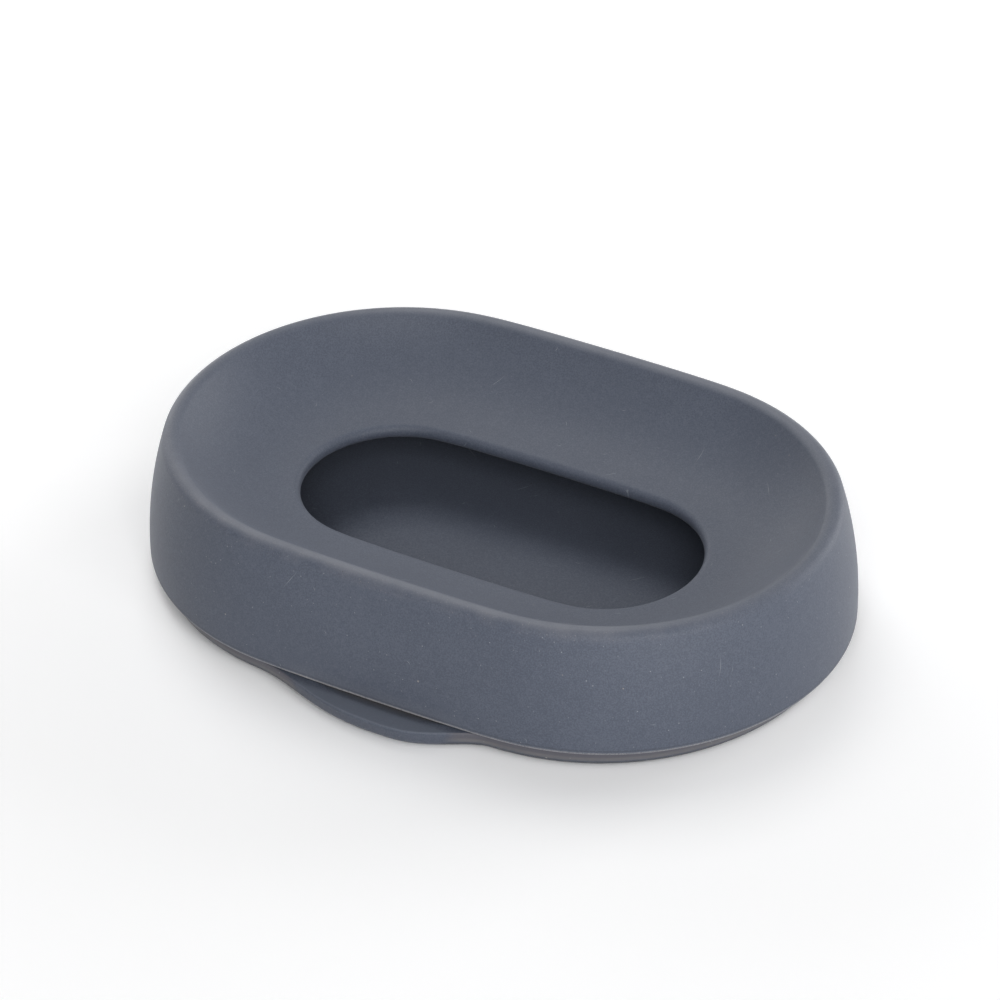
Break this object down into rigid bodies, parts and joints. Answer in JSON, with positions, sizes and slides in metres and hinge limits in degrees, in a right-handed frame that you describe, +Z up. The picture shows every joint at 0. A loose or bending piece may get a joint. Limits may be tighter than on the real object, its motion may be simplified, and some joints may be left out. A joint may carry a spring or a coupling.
{
  "type": "draining soap dish",
  "caption": "Oval silicone soap dish with a concave bowl and a central drain opening, lifting off a drip tray that has a pouring spout.",
  "frame": {"origin": "middle of the tray's flat underside, where the part stands on the counter, below the middle of the oval wall", "axes": "+X along the long axis, +Y from the pouring spout towards the back, +Z up"},
  "size_m": [0.14, 0.1021, 0.029],
  "materials": {
    "dish_silicone": "matte slate-grey moulded silicone",
    "tray_silicone": "matte slate-grey moulded silicone"
  },
  "bodies": {
    "tray": {"drip_tray": "tray_silicone"},
    "dish": {"dish": "dish_silicone"}
  },
  "joints": [
    {"name": "dish_lift_off", "type": "slide", "parent": "tray", "child": "dish", "axis": [0, 0, 1], "range_m": [0, 0.04]}
  ]
}
